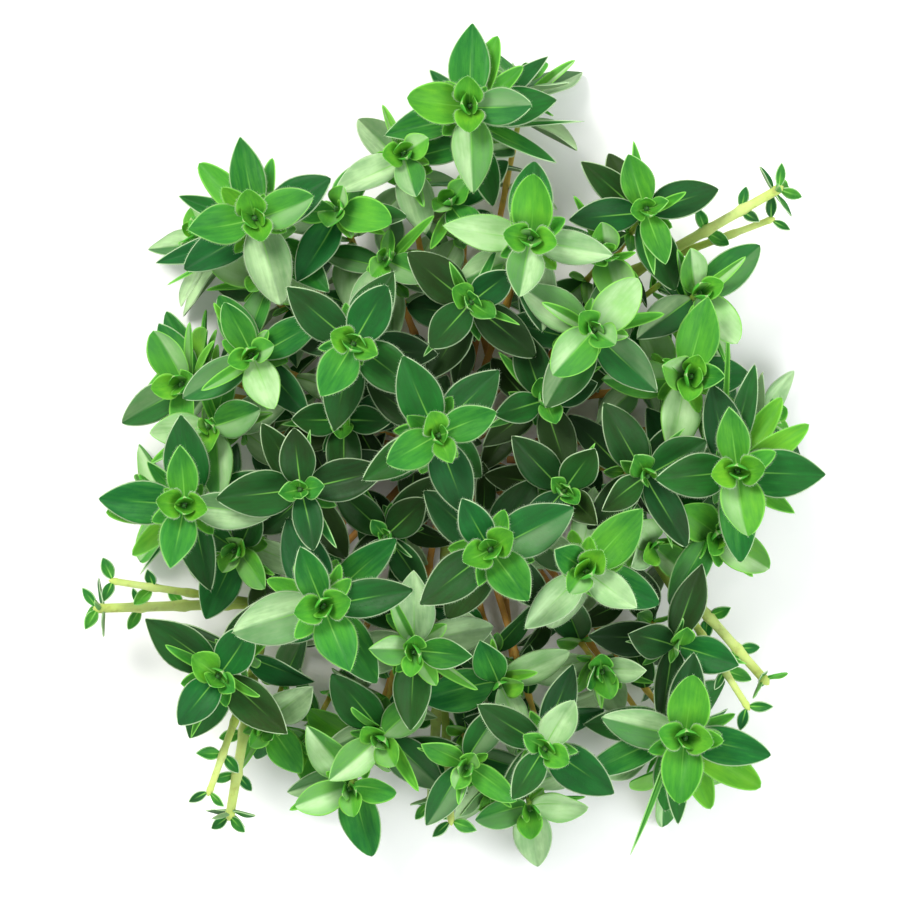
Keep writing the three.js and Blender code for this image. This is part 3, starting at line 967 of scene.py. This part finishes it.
def stem_part(line, nodes, wide, narrow, bud_width, drop):
    """A stem's points in rings, its faces, their corners and each point's share of its length."""
    total = line.total - drop
    distances, halves = stem_profile(total, nodes, wide, narrow, bud_width)
    turn = 2 * np.pi * np.arange(AROUND) / AROUND
    power = SQUARENESS
    reach = (np.abs(np.cos(turn)) ** power + np.abs(np.sin(turn)) ** power) ** (-1 / power)
    place, forward, third = line.at(distances)
    x = (halves[:, None] * reach * np.cos(turn))[..., None]
    y = (halves[:, None] * reach * np.sin(turn))[..., None]
    rings = place[:, None, :] + x * line.side + y * third[:, None, :]
    points = np.vstack([place[:1], rings.reshape(-1, 3), line.at(total)[0][None, :]])
    share = np.concatenate([[0], np.repeat(distances / total, AROUND), [1]])
    faces, corners = stem_faces(len(distances), share)
    return points, faces, corners, share


def sprig_nodes(plan):
    """Where a sprig's leaf pairs stand, from the start of its stem."""
    belows = [PAIRS[pair]["below"] for pair in range(LARGEST_PAIR, len(PAIRS))]
    belows += [row["below"] for row in LOWER_PAIRS[1:]]
    return [plan.line.total - below * plan.size for below in belows]


def twig_nodes(line):
    pairs = range(1, int(line.total / TWIG_LEAF_STEP))
    return [line.total - TWIG_LEAF_STEP * i - TWIG_LEAF_FIRST for i in pairs]


def stem_shape(plan):
    shape = Shape()
    parts = [(plan.line, sprig_nodes(plan), SPRIG_STEM)]
    if plan.branch is not None:
        lines = (plan.line, plan.branch)
        parts = [(line, twig_nodes(line), sizes) for line, sizes in zip(lines, TWIG_STEMS)]
    for i, (line, nodes, sizes) in enumerate(parts):
        points, faces, corners, share = stem_part(line, nodes, *sizes)
        corners[:, 1] = (corners[:, 1] + i) / len(parts)
        shape.add(points, faces, corners, stem_share=share)
    return shape


# How each sprig looks: how much older than usual its leaves are, which on the darkest sprigs also
# paints shade, and how strong a painted sheen they may get
BRIGHT, EMERALD, DARK_AND_SHADED, SHEEN_LOOK = (0, 0.3), (0.2, 0.2), (0.4, 0.35), (-0.04, 1.5)
LOOKS = {
    **dict.fromkeys([1, 2, 3, 4, 5, 9, 55, 56, 57, 58, 59], BRIGHT),
    **dict.fromkeys([6, 7, 8, 12, 15, 16], EMERALD),
    # Sprigs deep in the heap: darker leaves, partly their own older green and partly painted shade
    **dict.fromkeys([18, 23, 24, 28, 38, 39, 44, 45], DARK_AND_SHADED),
    # Sprigs whose leaves look pale through a painted sheen
    **dict.fromkeys([10, 11, 21, 33, 35], SHEEN_LOOK),
}
USUAL_LOOK = (-0.06, 1.7)
SHADE_RANGE = 0.18
SHADE_STEP = 7  # between the keys of two sprigs
YOUNG_SHADE = 0.4  # how much of all this a young leaf takes on
# How much of the painted sheen a young leaf takes on
YOUNG_SHEEN = 0.5

# Leaves whose painted sheen is known: sprig, pair and half. From 0 to 1 one half of the blade gets a
# pale painted sheen, standing in for light caught by its fold: the right half seen from the stalk, or
# the left one where the number is below 0
PAINTED_SHEEN_LEAVES = {
    (1, 2, 0): 0, (1, 2, 1): 1, (1, 1, 0): -0.6,
    (2, 2, 0): 0, (2, 2, 1): 1.15, (2, 1, 0): 0.6, (2, 1, 1): 0,
    (3, 1, 0): 0.7, (3, 2, 0): 0.2,
    (4, 2, 1): 1.1, (4, 2, 0): 0.1,
    (5, 2, 0): 1, (8, 2, 0): 0.5, (9, 2, 0): 0.1, (9, 2, 1): 1.1,
    (10, 1, 0): 1.3, (10, 2, 0): 0.3,
    (11, 2, 0): 1.3, (11, 2, 1): 1.2, (11, 1, 0): 0, (12, 1, 0): 1.4,
}


def settle_looks(plan):
    """Gives each leaf its age, from 0 to 1, which on the darkest sprigs also paints shade, its tone
    and the strength of its painted sheen.
    """
    age_and_shade_shift, sheen_strength = LOOKS.get(plan.order + 1, USUAL_LOOK)
    if plan.order + 1 not in LOOKS:
        age_and_shade_shift += SHADE_RANGE * draw(SHADE_STEP * plan.order)
    for i, leaf in enumerate(plan.leaves + plan.fine):
        key = LOOK_KEYS + LEAF_DRAWS * (MOST_LEAVES * plan.order + i)
        usual = getattr(leaf, "age", PAIR_AGES[leaf.pair])
        young = usual < YOUNG_AGE
        shade = age_and_shade_shift + SHADE_RANGE * draw(key)
        leaf.age = min(1, max(0, usual + (YOUNG_SHADE if young else 1) * shade))
        leaf.tone = 0.5 + 0.5 * draw(key + 1)
        leaf.pale = sheen_strength * draw(key + 2) * (YOUNG_SHEEN if young else 1)
        if i < len(plan.leaves):
            leaf.pale = PAINTED_SHEEN_LEAVES.get((plan.order + 1, leaf.pair, leaf.half), leaf.pale)


def settle(node, **inputs):
    """Sets inputs of a node by name, with _ for a space."""
    for name, value in inputs.items():
        node.inputs[name.replace("_", " ")].default_value = value


class Graph:
    """A material's nodes, joined by short calls. An input is a socket, a number or a colour."""

    def __init__(self, name, **settings):
        self.material = bpy.data.materials.new(name)
        self.material.use_nodes = True
        self.tree = self.material.node_tree
        self.shader = self.tree.nodes["Principled BSDF"]
        settle(self.shader, **settings)

    def fill(self, socket, value):
        if isinstance(value, bpy.types.NodeSocket):
            self.tree.links.new(value, socket)
        elif isinstance(value, tuple) and len(value) == 3 and socket.type == "RGBA":
            socket.default_value = (*value, 1)
        else:
            socket.default_value = value

    def made(self, kind, *inputs, **properties):
        """A node with its first inputs filled."""
        node = self.tree.nodes.new(kind)
        for name, value in properties.items():
            setattr(node, name, value)
        for socket, value in zip(node.inputs, inputs):
            self.fill(socket, value)
        return node

    def math(self, operation, *inputs, clamp=False):
        node = self.made("ShaderNodeMath", *inputs, operation=operation, use_clamp=clamp)
        return node.outputs[0]

    def plus(self, a, b, clamp=False):
        return self.math("ADD", a, b, clamp=clamp)

    def times(self, a, b):
        return self.math("MULTIPLY", a, b)

    def step(self, value, low, high, to_low=0.0, to_high=1.0):
        """A smooth step from to_low at low to to_high at high."""
        kind, inputs = "ShaderNodeMapRange", (value, low, high, to_low, to_high)
        return self.made(kind, *inputs, interpolation_type="SMOOTHSTEP").outputs[0]

    def mix(self, share, a, b, blend="MIX"):
        node = self.made("ShaderNodeMix", share, data_type="RGBA", blend_type=blend)
        self.fill(node.inputs[6], a)
        self.fill(node.inputs[7], b)
        return node.outputs[2]

    def ramp(self, value, stops):
        node = self.made("ShaderNodeValToRGB", value)
        elements = node.color_ramp.elements
        while len(elements) < len(stops):
            elements.new(0.5)
        for element, (place, colour) in zip(elements, stops):
            element.position = place
            element.color = (*colour, 1)
        return node.outputs[0]

    def noise(self, scale, detail=2.0, rough=0.5, place=None):
        node = self.made("ShaderNodeTexNoise", place or self.object_place())
        settle(node, Scale=scale, Detail=detail, Roughness=rough)
        return node.outputs[0]

    def waves(self, *sizes, place=None):
        """Noise round 0."""
        return self.math("SUBTRACT", self.noise(*sizes, place=place), 0.5)

    def dots(self, scale):
        """Distance to the nearest of many scattered points, in cells."""
        node = self.made("ShaderNodeTexVoronoi", self.object_place())
        settle(node, Scale=scale)
        return node.outputs["Distance"]

    def object_place(self):
        return self.made("ShaderNodeTexCoord").outputs["Object"]

    def attribute(self, name, output="Fac"):
        return self.made("ShaderNodeAttribute", attribute_name=name).outputs[output]

    def join(self, *parts):
        return self.made("ShaderNodeCombineXYZ", *parts).outputs[0]

    def split(self, vector):
        return self.made("ShaderNodeSeparateXYZ", vector).outputs

    def bump(self, height, distance, strength=1.0):
        node = self.made("ShaderNodeBump")
        settle(node, Strength=strength, Distance=distance)
        self.fill(node.inputs["Height"], height)
        self.fill(self.shader.inputs["Normal"], node.outputs[0])

    def paint(self, colour, roughness):
        self.fill(self.shader.inputs["Base Color"], colour)
        self.fill(self.shader.inputs["Roughness"], roughness)
        return self.material


# Colours, as linear red, green and blue
LEAF_COLOURS = [
    (0.0, (0.125, 0.41, 0.028)),
    (0.16, (0.075, 0.32, 0.026)),
    (0.32, (0.042, 0.225, 0.025)),
    (0.5, (0.013, 0.13, 0.02)),
    (0.68, (0.014, 0.084, 0.017)),
    (0.95, (0.017, 0.046, 0.011)),
]
# Painted shade of the hollow round the bud, at the stalks of young leaves
PAINTED_HOLLOW_SHADE = (0.006, 0.09, 0.008)
YOUNG_MARGIN = (0.22, 0.6, 0.08)
OLD_MARGIN = (0.5, 0.68, 0.4)
RIB_COLOUR = (0.2, 0.52, 0.08)
# Painted sheen: a pale colour standing in for light caught on one half of a folded leaf
PAINTED_SHEEN_COLOUR = (0.45, 0.66, 0.34)
YOUNG_UNDER = (0.08, 0.42, 0.035)
UNDER_COLOUR = (0.24, 0.38, 0.19)
UNDER_SHADE = (0.1, 0.22, 0.08)
UNDER_RIB_COLOUR = (0.45, 0.56, 0.28)
HAIR_COLOUR = (0.6, 0.75, 0.52)
MARGIN_MM = 0.2
RIB_MM = 0.15
UNDER_RIB_MM = 0.22

# Sizes of the patterns, as waves or cells a metre, and the streaks' a mm across
CLOUD_SCALE = 220
FLECK_SCALE = 1800
GLAND_SCALE = 1500
STREAK_SCALE = 2.2
STREAK_LENGTH = 1.4  # waves along a leaf, before the scale
STREAK_SHIFT = 90  # from one leaf to the next, by its tone


def leaf_colour(g, age, along, tone, cloud, streak):
    """The upper face's green by age, a little lighter near the stalk, cloudy and streaked."""
    ripe = g.plus(age, g.times(cloud, 0.3))
    ripe = g.plus(ripe, g.times(streak, 0.35))
    ripe = g.plus(ripe, g.step(along, 0.2, 1.0, -0.06, 0.06), clamp=True)
    warmth = g.mix(tone, (0.8, 0.94, 1.15), (1.3, 1.08, 0.85))
    return g.mix(1.0, g.ramp(ripe, LEAF_COLOURS), warmth, "MULTIPLY")


def paint_sheen_half(g, blade, across, pale, cloud, streak):
    """Paints a pale sheen on one half of the blade, standing in for light caught by its fold, and
    where the sheen is very strong on the other half too.
    """
    towards = g.times(across, g.math("SIGN", pale))
    amount = g.math("ABSOLUTE", pale)
    half = g.step(towards, -0.05, 0.16, g.step(amount, 0.9, 1.4, 0.06, 0.85), 1.0)
    faded = g.step(g.plus(towards, cloud), 1.15, 0.4, 0.35, 1.0)
    soft = g.plus(cloud, g.times(streak, 0.4))
    glow = g.times(g.times(half, faded), g.step(soft, -0.25, 0.2, 0.5, 1.0))
    return g.mix(g.times(glow, g.step(amount, 0.3, 1.0)), blade, PAINTED_SHEEN_COLOUR)


def rib_and_margin(g, blade, age, along, from_rib, from_edge):
    rib = g.times(g.step(from_rib, RIB_MM, 0.03), g.step(along, 0.75, 0.1, 0.0, 0.8))
    rib = g.times(rib, g.step(age, 0.1, YOUNG_AGE))
    blade = g.mix(rib, blade, RIB_COLOUR)
    wide = g.step(age, 0.15, 0.4, 1.6 * MARGIN_MM, MARGIN_MM)
    margin = g.times(g.step(from_edge, wide, 0.07), 0.85)
    return g.mix(margin, blade, g.mix(g.step(age, 0.22, 0.5), YOUNG_MARGIN, OLD_MARGIN))


def under_colour(g, age, from_rib, cloud):
    """The lower face: grey-green on an old leaf, with a pale rib."""
    below = g.mix(g.step(age, 0.15, 0.5), YOUNG_UNDER, UNDER_COLOUR)
    below = g.mix(g.times(g.plus(cloud, 0.5), 0.3), below, UNDER_SHADE)
    rib = g.times(g.step(from_rib, UNDER_RIB_MM, 0.08), 0.6)
    return g.mix(rib, below, UNDER_RIB_COLOUR)


def leaf_material():
    """Deep green above with a pale rib, pale margins, painted shade at the stalks of young leaves and
    often a painted sheen on one half, standing in for light caught by the fold; grey-green below."""
    g = Graph(
        "thyme_leaf",
        Subsurface_Weight=0.12,
        Subsurface_Radius=(0.4, 0.8, 0.2),
        Subsurface_Scale=0.0006,
        Specular_IOR_Level=0.1,
    )
    across, along, width = g.split(g.attribute("leaf_place", "Vector"))
    age, tone, pale = g.split(g.attribute("leaf_kind", "Vector"))
    under = g.attribute("leaf_under")
    from_rib = g.times(g.math("ABSOLUTE", across), width)
    from_edge = g.math("SUBTRACT", width, from_rib)
    side = g.times(across, width)
    length = g.times(along, STREAK_LENGTH)
    lengthwise = g.join(side, length, g.times(tone, STREAK_SHIFT))
    cloud = g.waves(CLOUD_SCALE, 3)
    fleck = g.waves(FLECK_SCALE, 2)
    streak = g.waves(STREAK_SCALE, 3, 0.6, place=lengthwise)

    blade = leaf_colour(g, age, along, tone, cloud, streak)
    # Painted sheen on one half of the blade, standing in for light caught by its fold
    blade = paint_sheen_half(g, blade, across, pale, cloud, streak)
    # Painted shade: young leaves darken towards their stalks, in the hollow round the bud
    hollow = g.times(g.step(along, 0.5, 0.05), g.step(age, 0.3, 0.1, 0.0, 0.85))
    blade = g.mix(hollow, blade, PAINTED_HOLLOW_SHADE)
    blade = rib_and_margin(g, blade, age, along, from_rib, from_edge)
    below = under_colour(g, age, from_rib, cloud)

    glands = g.step(g.dots(GLAND_SCALE), 0.28, 0.12)
    height = g.plus(g.times(fleck, 0.8), g.times(glands, -0.5))
    g.bump(height, 0.00005, 0.5)
    rough = g.plus(g.step(under, 0.0, 1.0, 0.45, 0.68), g.times(fleck, 0.3))
    return g.paint(g.mix(under, blade, below), rough)


STEM_COLOURS = [
    (0.0, (0.34, 0.16, 0.04)),
    (0.4, (0.6, 0.3, 0.04)),
    (0.72, (0.56, 0.42, 0.06)),
    (0.9, (0.3, 0.5, 0.05)),
    (0.97, (0.03, 0.16, 0.015)),
]
TWIG_COLOURS = [
    (0.0, (0.2, 0.3, 0.03)),
    (0.45, (0.34, 0.46, 0.06)),
    (0.8, (0.52, 0.64, 0.2)),
    (0.97, (0.46, 0.58, 0.12)),
]
STEM_SHADE = (0.12, 0.07, 0.03)
BARK_SCALE = 700
STEM_FLECK_SCALE = 3000
HAIR_SCALE = 400


def stem_material(name, colours):
    """A stalk that is woody at its cut end and green at its tip, streaked and finely hairy."""
    g = Graph(name, Subsurface_Weight=0.1, Subsurface_Scale=0.0005, Sheen_Weight=0.15)
    share = g.attribute("stem_share")
    streak = g.waves(BARK_SCALE, 4, 0.6)
    colour = g.ramp(g.plus(share, g.times(streak, 0.3), clamp=True), colours)
    colour = g.mix(g.times(g.step(streak, 0.02, 0.25), 0.3), colour, STEM_SHADE)
    fleck = g.noise(STEM_FLECK_SCALE, 2)
    g.bump(g.plus(fleck, g.times(streak, 2.0)), 0.00006, 0.6)
    return g.paint(colour, g.plus(0.5, g.times(fleck, 0.25)))


def hair_material():
    g = Graph("thyme_hair", Roughness=0.6, Specular_IOR_Level=0.2)
    g.fill(g.shader.inputs["Base Color"], g.mix(g.noise(HAIR_SCALE), HAIR_COLOUR, OLD_MARGIN))
    return g.material


leaf_look = leaf_material()
hair_look = hair_material()
stem_look = stem_material("thyme_stem", STEM_COLOURS)
twig_look = stem_material("thyme_twig", TWIG_COLOURS)

for plan in plans:
    settle_looks(plan)
    is_twig = plan.branch is not None
    if plan.leaves or plan.fine:
        leaves_shape(plan).piece(plan.name + "_leaves", plan.name, "leaf", leaf_look)
    if plan.order < TOP_SPRIGS:
        hairs_shape(plan).piece(plan.name + "_hairs", plan.name, "leaf", hair_look)
    slot, look = ("twig", twig_look) if is_twig else ("stem", stem_look)
    stem_shape(plan).piece(plan.name + "_stem", plan.name, slot, look)


# The floor, the light and the camera. The photograph looks straight down and is this wide
VIEW_WIDTH = 130.5 * MM
VIEW_MIDDLE = (-0.7 * MM, 0)
CAMERA_HEIGHT = 1.6
FOCUS_HEIGHT = 28 * MM  # where the view has its true width
SENSOR = 36
FLOOR_SIZE = 4
FLOOR_SCALE = 3  # waves a metre of its faint clouds
FLOOR_COLOURS = (0.93, 0.93, 0.93), (0.95, 0.95, 0.95)
LIGHT_AIM = (0, 0, 0.02)


def add_floor():
    bpy.ops.mesh.primitive_plane_add(size=FLOOR_SIZE)
    floor = bpy.context.object
    floor.name = "floor"
    g = Graph("pale_floor")
    g.paint(g.mix(g.noise(FLOOR_SCALE), *FLOOR_COLOURS), roughness=0.9)
    floor.data.materials.append(g.material)


def add_light(name, place, size, power, colour):
    lamp = bpy.data.lights.new(name, "AREA")
    lamp.size, lamp.energy, lamp.color = size, power, colour
    holder = add_object(name, lamp)
    holder.location = place
    aim = Vector(LIGHT_AIM) - Vector(place)
    holder.rotation_euler = aim.to_track_quat("-Z", "Y").to_euler()


def add_world():
    world = bpy.data.worlds.new("studio")
    bpy.context.scene.world = world
    world.use_nodes = True
    background = world.node_tree.nodes["Background"]
    settle(background, Color=(1, 1, 1, 1), Strength=0.84)


def add_camera():
    lens = bpy.data.cameras.new("camera")
    lens.sensor_width = SENSOR
    lens.lens = SENSOR * (CAMERA_HEIGHT - FOCUS_HEIGHT) / VIEW_WIDTH
    lens.clip_end = 20
    holder = add_object("camera", lens)
    holder.location = (*VIEW_MIDDLE, CAMERA_HEIGHT)
    bpy.context.scene.camera = holder


add_floor()
add_light("key", (-0.3, 0.34, 0.6), 0.25, 4.8, (1, 0.98, 0.94))
add_light("fill", (0.5, -0.25, 0.5), 0.5, 3.6, (0.95, 0.98, 1))
add_world()
add_camera()
bpy.context.scene.view_settings.view_transform = "Standard"
